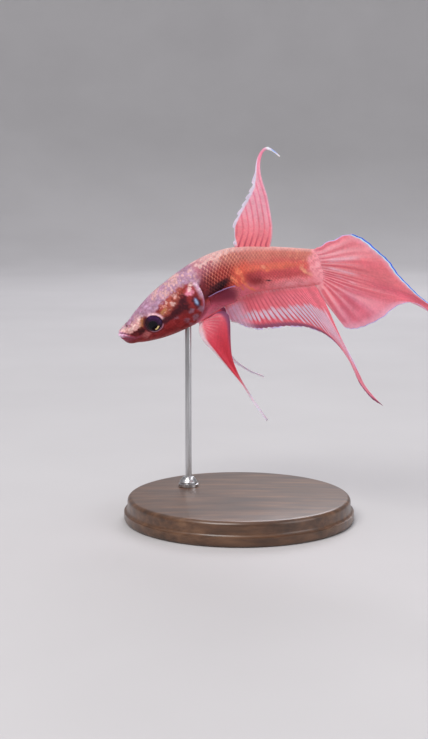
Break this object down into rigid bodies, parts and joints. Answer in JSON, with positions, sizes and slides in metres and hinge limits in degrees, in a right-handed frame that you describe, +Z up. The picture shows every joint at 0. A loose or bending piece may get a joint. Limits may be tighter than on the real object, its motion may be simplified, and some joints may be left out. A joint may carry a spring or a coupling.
{
  "type": "betta fish",
  "caption": "Life-size betta swimming head down with flowing fins, held by a slim rod on a round wooden display base.",
  "frame": {"origin": "middle of the bounding box, at the underside of the stand's base", "axes": "+Z up, the head points to -X, the fish's left side faces -Y"},
  "size_m": [0.0788, 0.054, 0.0865],
  "materials": {
    "skin_head": "moist skin, mauve and crimson with cream flecks and a dark band through the eye",
    "skin_body": "moist scaled skin, gold-tan back and orange-brown flank with dark red scale centres",
    "gill_cover": "glossy dark red with pale blue spots",
    "eye": "wet black pupil in a dark purple iris with a gold crescent",
    "fin": "thin coral-red membrane with darker rays and pale edges",
    "clear_fin": "thin smoky translucent membrane with fine rays",
    "stand_wood": "satin dark walnut",
    "stand_metal": "fine brushed steel"
  },
  "bodies": {
    "root": {"head": "skin_head", "lower_jaw": "skin_head", "trunk": "skin_body", "tail_stalk": "skin_body", "gill_cover_left": "gill_cover", "gill_cover_right": "gill_cover", "eye_left": "eye", "eye_right": "eye", "dorsal_fin": "fin", "anal_fin": "fin", "tail_fin": "fin", "pelvic_fin_left": "fin", "pelvic_fin_right": "fin", "pectoral_fin_left": "clear_fin", "pectoral_fin_right": "clear_fin", "stand_base": "stand_wood", "stand_rod": "stand_metal", "stand_collar": "stand_metal"}
  },
  "joints": []
}
